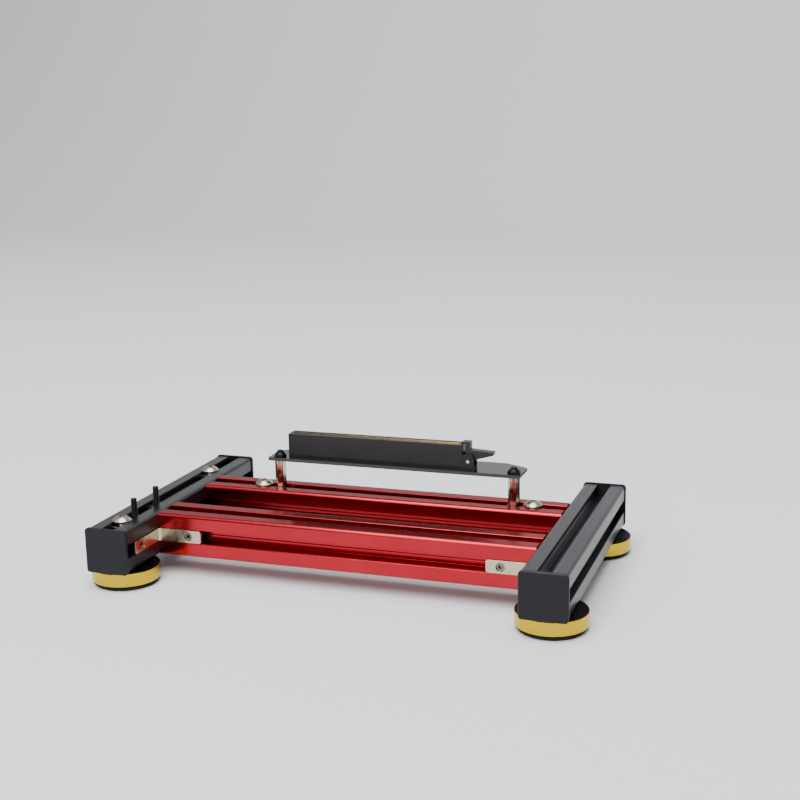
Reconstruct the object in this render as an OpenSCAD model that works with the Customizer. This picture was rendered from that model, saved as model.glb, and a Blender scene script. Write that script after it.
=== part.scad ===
// Graphics card support bracket, in millimetres, +Z up.
// The stand faces -Y, rests on z = 0 and is centred on x = 0 and y = 0.
// Two rails run along Y, two crossbars run along X between them, and a riser board
// with a card socket stands on the rear crossbar.

/* [Frame] */
// Length of each side rail, without its end caps
rail_length = 130; // [118:1:200]
// Free width between the rails, which is the length of each crossbar
bar_length = 180; // [160:1:260]
// Distance from the rails' front ends to the front crossbar
bar_setback = 28.5; // [25:0.5:40]
// Distance from the rear crossbar to the rails' rear ends
rear_bar_setback = 33; // [25:0.5:45]

/* [Slotted profile] */
// Outer size of the square profile
profile_size = 20; // [20:0.5:22]
// Radius of the profile's four outer edges
profile_corner_r = 1.5; // [0.5:0.1:2]
// Width of the slot at the surface
slot_opening = 6.2; // [6:0.1:6.6]
// Thickness of the lips beside the slot
lip_thickness = 1.8; // [1.5:0.1:2]
// Width of the channel behind the lips
channel_width = 11; // [10.8:0.1:11.6]
// Width of the solid core in the middle
core_size = 7.8; // [7:0.1:8.2]
// Thickness of the diagonal webs
web_thickness = 1.5; // [1:0.1:1.8]
// Diameter of the bore through the core
core_bore_d = 5; // [3.5:0.1:5.4]

/* [End caps] */
// Thickness of the cap's plate
cap_thickness = 1.6; // [1.2:0.1:4]
// How far the cap stands out past the profile on every side
cap_overhang = 0.5; // [0:0.1:0.5]
// Bevel around the cap's outer edge
cap_bevel = 0.4; // [0.1:0.1:0.8]
// Length of the peg that fits in the bore
cap_peg_length = 6; // [3:0.5:10]

/* [Feet] */
// Outer diameter of the gold ring
foot_d = 31.2; // [28:0.2:32]
// Height of the gold ring
ring_height = 6.1; // [5.5:0.1:9]
// Thickness of the black lip that covers the gold ring's top
foot_lip = 0.3; // [0.2:0.1:1]
// Rise of the foot's boss above that lip
boss_rise = 0.6; // [0.6:0.1:2]
// Wall of the gold ring
ring_wall = 0.8; // [0.5:0.1:1.2]
// Thickness of the soft pad
pad_thickness = 1.6; // [1.2:0.1:2]
// Width of the soft pad's band
pad_band = 5.6; // [3:0.1:7]
// Distance from the end of the rail to the foot's centre
foot_inset = 14.7; // [14:0.1:24]

/* [Corner connectors] */
// Length of each arm from the corner
arm_length = 22; // [19:0.5:24]
// How far the arms stand proud of the profile
arm_proud = 0.5; // [0.2:0.1:1]
// Radius of the fillet between the arms
arm_fillet_r = 1.5; // [0.5:0.5:4]
// Distance from the corner to each set screw
set_screw_offset = 15.5; // [14.5:0.5:18]
// Diameter of the set screws
set_screw_d = 4; // [3:0.5:4]

/* [Slot hardware] */
// Diameter of the button-head screws
screw_d = 5; // [4:0.5:5.5]
// Diameter of their heads
screw_head_d = 8.8; // [8:0.1:9.2]
// Height of their heads
screw_head_h = 2.6; // [2:0.1:3]
// Length of the T-nuts
nut_length = 9; // [7:0.5:9]
// Thickness of the T-nuts
nut_thickness = 3.2; // [2.8:0.1:3.4]
// Distance from the rail's front end to the front screw
front_screw_at = 14; // [11:0.5:15]
// Distance from the rail's rear end to the rear screw
rear_screw_at = 28; // [10:0.5:40]
// Distance from the rail's front end to the first guide stud
guide_stud_at = 25; // [24.5:0.5:32]
// Spacing of the two guide studs, one expansion slot
guide_stud_pitch = 20.32; // [15:0.01:25]
// Height of the guide studs above the rail
guide_stud_h = 7.4; // [4:0.2:14]

/* [Riser board] */
// Diameter of the guide studs, the standoff threads and the board's studs
stud_d = 3; // [2.5:0.1:3]
// Height from the T-nut to the board
standoff_h = 15; // [10:0.5:25]
// Width of the standoffs across flats
standoff_af = 5; // [4.5:0.1:5.2]
// Distance between the standoffs
standoff_span = 118.6; // [110:0.2:126]
// How far the middle of the standoffs lies to the right of the stand's middle
standoff_shift = 6.2; // [0:0.2:8]
// Distance from each standoff to its button-head screw
bar_screw_gap = 9.2; // [9.2:0.1:12]
// Thickness of the board
board_thickness = 1.6; // [1:0.1:2.4]
// Depth of the board at its middle
board_depth = 20; // [17:0.5:30]
// Depth of the board at its two ends
board_end_depth = 14.5; // [12:0.5:16]
// Distance from the board's front edge to the standoffs
board_hole_inset = 3.2; // [3:0.1:4]
// Distance from the left standoff to the board's left edge
board_left_margin = 5; // [4:0.1:7]
// Distance from the right standoff to the board's right edge
board_right_margin = 3.6; // [3.5:0.1:7]

/* [Card socket] */
// Distance from the left standoff to the socket
socket_offset = 3.8; // [3.8:0.1:6]
// Width of the socket
socket_width = 7.5; // [7:0.1:8.5]
// Height of the socket
socket_height = 11.2; // [10:0.1:13]
// Distance from the standoffs to the socket's middle
socket_setback = 5.8; // [5.2:0.1:9]
// Spacing of the contacts
contact_pitch = 1; // [1:0.01:1.05]
// Number of contacts in the long row
long_contacts = 71; // [40:1:71]
// Number of contacts in the short row
short_contacts = 11; // [5:1:11]
// Width of the card slot
card_slot_width = 1.9; // [1.7:0.1:2.2]
// Depth of the card slot
card_slot_depth = 8; // [6:0.1:8.5]

/* [Latch] */
// Height of the latch's pivot above the board
latch_pivot_h = 3.4; // [3.2:0.1:4]
// Distance from the socket's end to the latch's pivot
latch_pivot_x = 2.8; // [2.6:0.1:3.4]
// Width of the latch
latch_width = 4; // [3:0.1:4.4]
// Diameter of the latch's pivot pin
latch_pin_d = 1.6; // [1.2:0.1:1.8]
// Reach of the thumb tab from the pivot
latch_tab_reach = 12; // [8:0.5:12.5]

/* [Hidden] */
$fn = 48;

// Clearance of a screw or peg in its hole, on the radius
fit = 0.05;
// Clearance of a free piece beside its neighbour
gap = 0.2;
// Overshoot of cutters past the faces that they cut
cut = 1;
// The studs' diameter at the root of their thread
stud_root_d = stud_d - 0.5;
// Depth of the centre line scribed in each slot floor
scribe = 0.25;
// Clearance hole of a stud in the board, on the radius
board_hole_play = 0.1;

// The foot from the floor up: pad, rim, ring, lip and the boss that meets the rail
rim_height = 0.6;
ring_bottom = pad_thickness + rim_height;
ring_top = ring_bottom + ring_height;
foot_top = ring_top + foot_lip;
foot_height = foot_top + boss_rise;

// Heights of the main levels
rail_bottom = foot_height;
rail_top = rail_bottom + profile_size;
rail_mid = rail_bottom + profile_size / 2;
nut_top = rail_top - lip_thickness;
board_bottom = nut_top + standoff_h;
board_top = board_bottom + board_thickness;

// Places of the main pieces
rail_x = (bar_length + profile_size) / 2;
rail_end = rail_length / 2;
inner_face = bar_length / 2;
front_bar_y = -rail_end + bar_setback + profile_size / 2;
rear_bar_y = rail_end - rear_bar_setback - profile_size / 2;
foot_y = rail_end - foot_inset;
foot_r = foot_d / 2;
slot_depth = (profile_size - core_size) / 2;

// The foot's body and the screw in its recess
foot_body_r = foot_r - ring_wall;
rim_r = foot_r - 0.3;
lip_r = foot_r - 0.1;
foot_boss_r = 7;
foot_screw_d = 4;
foot_head_r = 3.8;
foot_head_h = 2.4;
foot_head_recess_r = foot_head_r + 0.8;
foot_head_top = pad_thickness + foot_head_h + 0.8;
foot_screw_tip = slot_depth - 0.4;

// Sizes of the sockets that a hexagon key fits
screw_key = 3;
set_screw_key = 2.2;
key_depth = 1.3;

// Connector: a neck in the slot opening and a wider head behind the lips
neck_width = slot_opening - 0.3;
head_width = channel_width - 0.8;
arm_head_thickness = 1.6;
arm_corner_r = 1.1;
arm_head_start = 0.8;
arm_head_setback = 1.2;

// Centres of the standoffs and of their screws
standoff_x = [standoff_shift - standoff_span / 2, standoff_shift + standoff_span / 2];
bar_screw_x = [standoff_x[0] - bar_screw_gap, standoff_x[1] + bar_screw_gap];
standoff_thread = nut_thickness;
standoff_bore = 5;
board_nut_af = 5.5;
board_nut_h = 2.4;
nut_chamfer = 30;
board_stud_top = board_top + board_nut_h + 0.9;

// Outline of the board
board_x0 = standoff_x[0] - board_left_margin;
board_x1 = standoff_x[1] + board_right_margin;
board_y0 = rear_bar_y - board_hole_inset;
board_corner = 12;

// The socket: a short and a long row of contacts with a key between them
socket_y = rear_bar_y + socket_setback;
socket_x0 = standoff_x[0] + socket_offset;
socket_wall = 2;
row_margin = 0.65;
key_width = 1.7;
short_row = short_contacts * contact_pitch + row_margin;
long_row = long_contacts * contact_pitch + row_margin;
socket_length = 2 * socket_wall + short_row + key_width + long_row;
socket_x1 = socket_x0 + socket_length;
contact_slot = 0.56;
contact_reach = 2.4;
contact_drop = 1.4;
cheek_height = 6.6;
cheek_length = latch_pivot_x + 2.6;
cheek_corner_r = 1.4;
cheek_floor = 0.8;

// The latch swings about its pin, between the socket's two cheeks
latch_x = socket_x1 + latch_pivot_x;
latch_z = board_top + latch_pivot_h;
latch_foot_r = 2;
latch_stem = 2.4;
latch_stem_left = -1.6;
latch_top = socket_height + 1.4 - latch_pivot_h;
hook_reach = latch_pivot_x + 1;
hook_bottom = socket_height + 0.4 - latch_pivot_h;
tab_thickness = 1.6;
tab_rise = 3.2;

// Square with rounded corners
module rounded_square(width, depth, r) {
    for (x = [-1, 1], y = [-1, 1]) {
        translate([x * (width / 2 - r), y * (depth / 2 - r)]) circle(r = r);
    }
    square([width - 2 * r, depth], center = true);
    square([width, depth - 2 * r], center = true);
}

// One slot of the profile, open towards +Y
module slot_outline() {
    half = profile_size / 2;
    mouth = slot_opening / 2;
    wide = channel_width / 2;
    web = web_thickness / 2 * sqrt(2);
    core = core_size / 2;
    polygon([
        [-mouth, half + cut], [-mouth, half - lip_thickness],
        [-wide, half - lip_thickness], [-wide, wide + web],
        [-(core - web), core], [-scribe, core], [0, core - scribe], [scribe, core],
        [core - web, core], [wide, wide + web],
        [wide, half - lip_thickness], [mouth, half - lip_thickness],
        [mouth, half + cut]
    ]);
}

// Cross-section of the profile, with a slot on each side and a bore
module profile_section() {
    difference() {
        rounded_square(profile_size, profile_size, profile_corner_r);
        for (turn = [0:90:270]) rotate(turn) slot_outline();
        circle(d = core_bore_d);
    }
}

// A length of profile along Y
module rail(x) {
    translate([x, 0, rail_mid]) rotate([90, 0, 0])
        linear_extrude(height = rail_length, center = true) profile_section();
}

// A length of profile along X
module crossbar(y) {
    translate([0, y, rail_mid]) rotate([90, 0, 90])
        linear_extrude(height = bar_length, center = true) profile_section();
}

// Plate of the cap along +Z, bevelled on its four outer edges
module cap_plate() {
    half = profile_size / 2 + cap_overhang;
    bevelled = [
        [-half, 0], [-half, cap_thickness - cap_bevel], [-half + cap_bevel, cap_thickness],
        [half - cap_bevel, cap_thickness], [half, cap_thickness - cap_bevel], [half, 0]
    ];
    intersection() {
        linear_extrude(height = cap_thickness)
            rounded_square(2 * half, 2 * half, profile_corner_r + cap_overhang);
        rotate([90, 0, 0]) linear_extrude(height = 2 * profile_size, center = true)
            polygon(bevelled);
        rotate([90, 0, 90]) linear_extrude(height = 2 * profile_size, center = true)
            polygon(bevelled);
    }
}

// End cap: a plate on the rail's end, with a peg in the bore
module end_cap(x, side) {
    peg_r = core_bore_d / 2 - fit;
    translate([x, side * rail_end, rail_mid]) rotate([-90 * side, 0, 0]) {
        cap_plate();
        translate([0, 0, -cap_peg_length]) {
            translate([0, 0, peg_r / 2]) cylinder(r = peg_r, h = cap_peg_length);
            cylinder(r1 = peg_r - 0.5, r2 = peg_r, h = peg_r / 2);
        }
    }
}

// Moulded foot: a rim and a lip that hold the ring between them, a boss under the rail
// and a recess for the screw
module foot_body(x, y) {
    translate([x, y, 0]) difference() {
        union() {
            translate([0, 0, pad_thickness]) cylinder(r = rim_r, h = rim_height);
            translate([0, 0, pad_thickness])
                cylinder(r = foot_body_r - fit, h = ring_top - pad_thickness);
            translate([0, 0, ring_top]) cylinder(r1 = lip_r, r2 = lip_r - foot_lip / 2, h = foot_lip);
            translate([0, 0, pad_thickness])
                cylinder(r = foot_boss_r, h = foot_height - pad_thickness);
        }
        cylinder(r = foot_head_recess_r, h = foot_head_top);
        cylinder(d = foot_screw_d + 4 * fit, h = foot_height + cut);
    }
}

// Gold ring around the foot, bevelled at its top edge
module foot_ring(x, y) {
    bevel = ring_wall / 2;
    translate([x, y, ring_bottom]) rotate_extrude() polygon([
        [foot_body_r, 0], [foot_r - bevel, 0], [foot_r, bevel],
        [foot_r, ring_height - bevel], [foot_r - bevel, ring_height], [foot_body_r, ring_height]
    ]);
}

// Soft ring under the foot
module foot_pad(x, y) {
    pad_r = rim_r - 1.1;
    translate([x, y, 0]) difference() {
        cylinder(r = pad_r, h = pad_thickness);
        translate([0, 0, -cut]) cylinder(r = pad_r - pad_band, h = pad_thickness + 2 * cut);
    }
}

// Pan-head screw from below, through the foot and into its T-nut
module foot_screw(x, y) {
    translate([x, y, 0]) difference() {
        union() {
            translate([0, 0, foot_head_top - foot_head_h]) cylinder(r = foot_head_r, h = foot_head_h);
            translate([0, 0, foot_head_top])
                cylinder(d = foot_screw_d, h = rail_bottom + foot_screw_tip - foot_head_top);
        }
        translate([0, 0, foot_head_top - foot_head_h - cut])
            cylinder(d = screw_key / cos(30), h = key_depth + cut, $fn = 6);
    }
}

// T-nut along Y, with its bearing face on z = 0 and its body below
module slot_nut(hole_d) {
    half = (channel_width - 0.6) / 2;
    shoulder = nut_thickness * 0.45;
    difference() {
        rotate([90, 0, 0]) linear_extrude(height = nut_length, center = true) polygon([
            [-half, 0], [-half, -shoulder], [-half + nut_thickness - shoulder, -nut_thickness],
            [half - nut_thickness + shoulder, -nut_thickness], [half, -shoulder], [half, 0]
        ]);
        translate([0, 0, -nut_thickness - cut])
            cylinder(d = hole_d + 2 * fit, h = nut_thickness + 2 * cut);
    }
}

// T-nut against the lips of the left rail's top slot
module rail_nut(y, hole_d) {
    translate([-rail_x, y, nut_top]) slot_nut(hole_d);
}

// T-nut against the lips of the rear crossbar's top slot
module bar_nut(x, hole_d) {
    translate([x, rear_bar_y, nut_top]) rotate(90) slot_nut(hole_d);
}

// Button-head screw with its head on z = 0
module button_screw() {
    head_r = screw_head_d / 2;
    edge = 0.5;
    dome_r = (head_r * head_r + (screw_head_h - edge) * (screw_head_h - edge))
        / (2 * (screw_head_h - edge));
    difference() {
        union() {
            intersection() {
                cylinder(r = head_r, h = screw_head_h);
                translate([0, 0, screw_head_h - dome_r]) sphere(r = dome_r);
            }
            translate([0, 0, -slot_depth + 0.5]) cylinder(d = screw_d, h = slot_depth);
        }
        translate([0, 0, screw_head_h - key_depth])
            cylinder(d = screw_key / cos(30), h = key_depth + cut, $fn = 6);
    }
}

// One arm of the connector along +X: z = 0 is the profile's surface, +Z goes into the slot
module connector_arm() {
    flat_end = arm_length - arm_corner_r;
    difference() {
        union() {
            translate([0, 0, -arm_proud]) linear_extrude(height = lip_thickness + arm_proud) {
                translate([-lip_thickness, -neck_width / 2])
                    square([lip_thickness + flat_end, neck_width]);
                translate([0, -neck_width / 2 + arm_corner_r])
                    square([arm_length, neck_width - 2 * arm_corner_r]);
                for (side = [-1, 1]) {
                    translate([flat_end, side * (neck_width / 2 - arm_corner_r)])
                        circle(r = arm_corner_r);
                }
            }
            translate([arm_head_start, -head_width / 2, lip_thickness])
                cube([
                    arm_length - arm_head_start - arm_head_setback,
                    head_width, arm_head_thickness
                ]);
        }
        translate([set_screw_offset, 0, -arm_proud - cut])
            cylinder(d = set_screw_d + 2 * fit, h = arm_proud + slot_depth + cut);
    }
}

// Set screw in the arm's own frame, tightened against the slot floor
module set_screw() {
    top = 0.3;
    translate([set_screw_offset, 0, top]) difference() {
        cylinder(d = set_screw_d, h = slot_depth - top);
        translate([0, 0, -cut]) cylinder(d = set_screw_key / cos(30), h = key_depth + cut, $fn = 6);
    }
}

// Fillet that joins the two arms on the open side of the corner
module connector_fillet() {
    far = arm_fillet_r + arm_proud;
    linear_extrude(height = neck_width, center = true) difference() {
        translate([0, -far]) square([far, far]);
        translate([far, -far]) circle(r = arm_fillet_r);
    }
}

// Turns what is made for an arm into the bar's slot and into the rail's slot
module both_arms() {
    rotate([-90, 0, 0]) children();
    mirror([1, 1, 0]) rotate([-90, 0, 0]) children();
}

// Mirrors its children when asked
module flipped(on, axis) {
    if (on) mirror(axis) children();
    else children();
}

// Places what is made for the front left corner at any of the four corners
module at_corner(right, rear) {
    y = rear ? rear_bar_y + profile_size / 2 : front_bar_y - profile_size / 2;
    translate([right ? inner_face : -inner_face, y, rail_mid])
        flipped(right, [1, 0, 0]) flipped(rear, [0, 1, 0]) children();
}

// Corner connector with an arm in the crossbar and an arm in the rail
module connector(right, rear) {
    at_corner(right, rear) {
        both_arms() connector_arm();
        connector_fillet();
    }
}

// Threaded stud that holds an expansion bracket: it stands on the slot floor, it is
// at its thread's root inside the slot and its nut, and its tip is turned down
module guide_stud(y) {
    tip = 0.4;
    translate([-rail_x, y, rail_top]) {
        translate([0, 0, -slot_depth]) cylinder(d = stud_root_d, h = slot_depth);
        cylinder(d = stud_d, h = guide_stud_h - tip);
        translate([0, 0, guide_stud_h - tip])
            cylinder(d1 = stud_d, d2 = stud_d - 2 * tip, h = tip);
    }
}

// Hexagonal prism given by its width across flats
module hexagon(af, h) {
    cylinder(d = af / cos(30), h = h, $fn = 6);
}

// Hexagonal standoff on its T-nut, with a thread below and a threaded hole above
module standoff(x) {
    translate([x, rear_bar_y, nut_top]) difference() {
        union() {
            hexagon(standoff_af, standoff_h);
            translate([0, 0, -standoff_thread]) cylinder(d = stud_d, h = standoff_thread);
        }
        translate([0, 0, standoff_h - standoff_bore])
            cylinder(d = stud_d + 2 * fit, h = standoff_bore + cut);
    }
}

// Stud from the standoff through the board and its nut
module board_stud(x) {
    bottom = board_bottom - standoff_bore;
    translate([x, rear_bar_y, bottom]) cylinder(d = stud_d, h = board_stud_top - bottom);
}

// Nut that clamps the board on its standoff, chamfered round its top
module board_nut(x) {
    top_r = board_nut_af / 2 - 0.1;
    translate([x, rear_bar_y, board_top]) difference() {
        intersection() {
            hexagon(board_nut_af, board_nut_h);
            cylinder(r1 = top_r + board_nut_h / tan(nut_chamfer), r2 = top_r, h = board_nut_h);
        }
        translate([0, 0, -cut]) cylinder(d = stud_d + 2 * fit, h = board_nut_h + 2 * cut);
    }
}

// Outline of the board, with its rear corners cut away
module board_outline() {
    polygon([
        [board_x0, board_y0], [board_x1, board_y0], [board_x1, board_y0 + board_end_depth],
        [board_x1 - board_corner, board_y0 + board_depth],
        [board_x0 + board_corner, board_y0 + board_depth], [board_x0, board_y0 + board_end_depth]
    ]);
}

// Slot for one row of contacts along +X, open at the socket's top, with a lead-in
module card_slot(length) {
    half = card_slot_width / 2;
    lead = 0.55;
    rotate([90, 0, 90]) linear_extrude(height = length) polygon([
        [-half - lead, socket_height + cut], [-half - lead, socket_height],
        [-half, socket_height - lead], [-half, socket_height - card_slot_depth],
        [half, socket_height - card_slot_depth], [half, socket_height - lead],
        [half + lead, socket_height], [half + lead, socket_height + cut]
    ]);
}

// Cavities for one row of contacts, across the card slot
module contact_cavities(count) {
    for (i = [0:count - 1]) {
        x = row_margin / 2 + (i + 0.5) * contact_pitch;
        translate([x - contact_slot / 2, -contact_reach, socket_height - contact_drop])
            cube([contact_slot, 2 * contact_reach, contact_drop + cut]);
    }
}

// Side outline of one cheek beside the latch
module cheek_outline() {
    square([cheek_length - cheek_corner_r, cheek_height]);
    square([cheek_length, cheek_height - cheek_corner_r]);
    translate([cheek_length - cheek_corner_r, cheek_height - cheek_corner_r])
        circle(r = cheek_corner_r);
}

// Carrier at the socket's end: a floor and two cheeks with the holes for the pin
module latch_carrier() {
    inner = latch_width / 2 + gap;
    translate([0, -socket_width / 2, 0]) cube([cheek_length, socket_width, cheek_floor]);
    difference() {
        rotate([90, 0, 0]) linear_extrude(height = socket_width, center = true) cheek_outline();
        translate([0, -inner, cheek_floor]) cube([cheek_length + cut, 2 * inner, cheek_height]);
        translate([latch_pivot_x, 0, latch_pivot_h]) rotate([90, 0, 0])
            cylinder(d = latch_pin_d, h = socket_width + 2 * cut, center = true);
    }
}

// Side outline of the latch above its pivot: stem with hook, and thumb tab
module lever_outline() {
    stem_right = latch_stem_left + latch_stem;
    chamfer = 0.6;
    tab_top = tab_rise + tab_thickness;
    polygon([
        [latch_stem_left, 0], [latch_stem_left, hook_bottom], [-hook_reach, hook_bottom],
        [-hook_reach, latch_top - chamfer], [-hook_reach + chamfer, latch_top],
        [stem_right, latch_top], [stem_right, tab_top + chamfer],
        [latch_tab_reach, tab_top], [latch_tab_reach, tab_rise], [latch_foot_r / 2, 0]
    ]);
}

// Latch about its pivot at the origin, seen from the side as X to Y
module latch_shape() {
    difference() {
        union() {
            cylinder(r = latch_foot_r, h = latch_width, center = true);
            linear_extrude(height = latch_width, center = true) lever_outline();
        }
        cylinder(d = latch_pin_d + 2 * fit, h = latch_width + 2 * cut, center = true);
    }
}

module left_rail() { color("dimgray") rail(-rail_x); }
module right_rail() { color("dimgray") rail(rail_x); }
module front_crossbar() { color("crimson") crossbar(front_bar_y); }
module rear_crossbar() { color("crimson") crossbar(rear_bar_y); }

module cap_front_left() { color("black") end_cap(-rail_x, -1); }
module cap_front_right() { color("black") end_cap(rail_x, -1); }
module cap_rear_left() { color("black") end_cap(-rail_x, 1); }
module cap_rear_right() { color("black") end_cap(rail_x, 1); }

module foot_front_left() { color("dimgray") foot_body(-rail_x, -foot_y); }
module foot_front_right() { color("dimgray") foot_body(rail_x, -foot_y); }
module foot_rear_left() { color("dimgray") foot_body(-rail_x, foot_y); }
module foot_rear_right() { color("dimgray") foot_body(rail_x, foot_y); }

module ring_front_left() { color("gold") foot_ring(-rail_x, -foot_y); }
module ring_front_right() { color("gold") foot_ring(rail_x, -foot_y); }
module ring_rear_left() { color("gold") foot_ring(-rail_x, foot_y); }
module ring_rear_right() { color("gold") foot_ring(rail_x, foot_y); }

module pad_front_left() { color("black") foot_pad(-rail_x, -foot_y); }
module pad_front_right() { color("black") foot_pad(rail_x, -foot_y); }
module pad_rear_left() { color("black") foot_pad(-rail_x, foot_y); }
module pad_rear_right() { color("black") foot_pad(rail_x, foot_y); }

// The four screws that hold the feet
module foot_screws() {
    color("silver") for (x = [-rail_x, rail_x], y = [-foot_y, foot_y]) foot_screw(x, y);
}

// The four T-nuts that the feet are screwed to
module foot_nuts() {
    color("silver") for (x = [-rail_x, rail_x], y = [-foot_y, foot_y]) {
        translate([x, y, rail_bottom + lip_thickness]) rotate([0, 180, 0]) slot_nut(foot_screw_d);
    }
}

module connector_front_left() { color("silver") connector(false, false); }
module connector_front_right() { color("silver") connector(true, false); }
module connector_rear_left() { color("silver") connector(false, true); }
module connector_rear_right() { color("silver") connector(true, true); }

// The set screws of all connectors
module set_screws() {
    color("gray") for (right = [false, true], rear = [false, true]) {
        at_corner(right, rear) both_arms() set_screw();
    }
}

// Button-head screws: two on the left rail and two on the rear crossbar
module slot_screws() {
    color("silver") {
        for (y = [-rail_end + front_screw_at, rail_end - rear_screw_at]) {
            translate([-rail_x, y, rail_top]) button_screw();
        }
        for (x = bar_screw_x) translate([x, rear_bar_y, rail_top]) button_screw();
    }
}

// T-nuts of the button-head screws
module screw_nuts() {
    color("silver") {
        for (y = [-rail_end + front_screw_at, rail_end - rear_screw_at]) rail_nut(y, screw_d);
        for (x = bar_screw_x) bar_nut(x, screw_d);
    }
}

module guide_stud_front() { color("black") guide_stud(-rail_end + guide_stud_at); }
module guide_stud_rear() { color("black") guide_stud(-rail_end + guide_stud_at + guide_stud_pitch); }

// T-nuts of the guide studs
module stud_nuts() {
    color("silver") for (i = [0, 1]) {
        rail_nut(-rail_end + guide_stud_at + i * guide_stud_pitch, stud_root_d);
    }
}

module standoff_left() { color("silver") standoff(standoff_x[0]); }
module standoff_right() { color("silver") standoff(standoff_x[1]); }

// T-nuts of the standoffs
module standoff_nuts() {
    color("silver") for (x = standoff_x) bar_nut(x, stud_d);
}

// Studs that hold the board on its standoffs
module board_studs() {
    color("black") for (x = standoff_x) board_stud(x);
}

// Nuts on those studs
module board_nuts() {
    color("black") for (x = standoff_x) board_nut(x);
}

// Circuit board that carries the socket
module riser_board() {
    color("darkslategray") difference() {
        translate([0, 0, board_bottom]) linear_extrude(height = board_thickness) board_outline();
        for (x = standoff_x) {
            translate([x, rear_bar_y, board_bottom - cut])
                cylinder(d = stud_d + 2 * board_hole_play, h = board_thickness + 2 * cut);
        }
    }
}

// Socket for the card: two rows with a key between them, and the latch's carrier
module card_socket() {
    long_start = socket_wall + short_row + key_width;
    color("black") translate([socket_x0, socket_y, board_top]) {
        difference() {
            translate([0, -socket_width / 2, 0]) cube([socket_length, socket_width, socket_height]);
            translate([socket_wall, 0, 0]) card_slot(short_row);
            translate([long_start, 0, 0]) card_slot(long_row);
            translate([socket_wall, 0, 0]) contact_cavities(short_contacts);
            translate([long_start, 0, 0]) contact_cavities(long_contacts);
        }
        translate([socket_length, 0, 0]) latch_carrier();
    }
}

// Latch that hooks over the end of the card
module socket_latch() {
    color("dimgray") translate([latch_x, socket_y, latch_z]) rotate([90, 0, 0]) latch_shape();
}

// Pin on which the latch swings
module latch_pin() {
    color("silver") translate([latch_x, socket_y, latch_z]) rotate([90, 0, 0])
        cylinder(d = latch_pin_d, h = socket_width, center = true);
}

left_rail();
right_rail();
front_crossbar();
rear_crossbar();
cap_front_left();
cap_front_right();
cap_rear_left();
cap_rear_right();
foot_front_left();
foot_front_right();
foot_rear_left();
foot_rear_right();
ring_front_left();
ring_front_right();
ring_rear_left();
ring_rear_right();
pad_front_left();
pad_front_right();
pad_rear_left();
pad_rear_right();
foot_screws();
foot_nuts();
connector_front_left();
connector_front_right();
connector_rear_left();
connector_rear_right();
set_screws();
slot_screws();
screw_nuts();
guide_stud_front();
guide_stud_rear();
stud_nuts();
standoff_left();
standoff_right();
standoff_nuts();
board_studs();
board_nuts();
riser_board();
card_socket();
socket_latch();
latch_pin();
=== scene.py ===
# %% [markdown]
# # Graphics card support bracket, made from slotted aluminium profile
# Two black rails and two red crossbars are cut from the same extruded profile. Small cast
# connectors join them inside their slots, round feet with gold rings carry them, and a
# riser board with a card socket stands on the rear crossbar. This script dresses the exact
# model: it gives every solid its finish and adds what is too fine for the solids, such as
# threads, contacts and the tiny rounding of each extruded edge.

# %% Load the model
import math
import bmesh
import bpy
import numpy as np
from mathutils import Matrix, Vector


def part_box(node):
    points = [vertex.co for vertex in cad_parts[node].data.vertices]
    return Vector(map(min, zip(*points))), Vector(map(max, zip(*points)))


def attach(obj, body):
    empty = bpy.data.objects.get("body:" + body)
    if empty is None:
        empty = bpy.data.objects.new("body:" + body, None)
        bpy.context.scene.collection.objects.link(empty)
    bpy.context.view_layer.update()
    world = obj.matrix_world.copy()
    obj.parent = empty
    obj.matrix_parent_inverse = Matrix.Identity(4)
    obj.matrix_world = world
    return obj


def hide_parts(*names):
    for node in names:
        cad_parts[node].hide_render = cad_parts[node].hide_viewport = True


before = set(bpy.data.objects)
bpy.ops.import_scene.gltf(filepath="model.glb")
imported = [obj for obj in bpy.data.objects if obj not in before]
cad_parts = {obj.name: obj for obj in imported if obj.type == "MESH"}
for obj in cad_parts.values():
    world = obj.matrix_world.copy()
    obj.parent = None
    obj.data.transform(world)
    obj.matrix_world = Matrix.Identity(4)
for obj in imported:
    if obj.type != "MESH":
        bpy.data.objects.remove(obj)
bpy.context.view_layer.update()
MM = 0.001

# %% [markdown]
# ## The camera
# The camera's place was found from the profile's own corners: with the section known to be
# 20 mm square, the corners fix the lens, the place and the small tilt of the picture. It
# stands a little to the right, about 60 cm away and 20 cm above the table, and
# looks slightly down. A camera looks along its own -Z, so it is first raised to look along
# +Y, then turned down, turned about the vertical and rolled.

# %% Place the camera
CAMERA_PLACE = (213.8, -560.2, 213.6)
CAMERA_AZIMUTH = 19.29
CAMERA_ELEVATION = 12.58
CAMERA_ROLL = -1.08
LENS = 60.08

lens = bpy.data.cameras.new("camera")
lens.lens = LENS
lens.sensor_width = 36
camera = bpy.data.objects.new("camera", lens)
bpy.context.collection.objects.link(camera)
camera.matrix_world = (
    Matrix.Translation([value * MM for value in CAMERA_PLACE])
    @ Matrix.Rotation(math.radians(CAMERA_AZIMUTH), 4, "Z")
    @ Matrix.Rotation(math.radians(90 - CAMERA_ELEVATION), 4, "X")
    @ Matrix.Rotation(math.radians(CAMERA_ROLL), 4, "Z")
)
bpy.context.scene.camera = camera
print("camera at", CAMERA_PLACE, "mm, lens", LENS, "mm")

# %% [markdown]
# ## Nodes and colours
# Every finish below is a small tree of shader nodes. One helper adds a node with its
# settings and its links, and one turns a colour written as on a web page into the linear
# values that a renderer works in: a screen's colours are stored on a curve, and the light
# itself is not.

# %% Helpers for materials
NOISE_LOW, NOISE_HIGH = 0.3, 0.7


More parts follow.
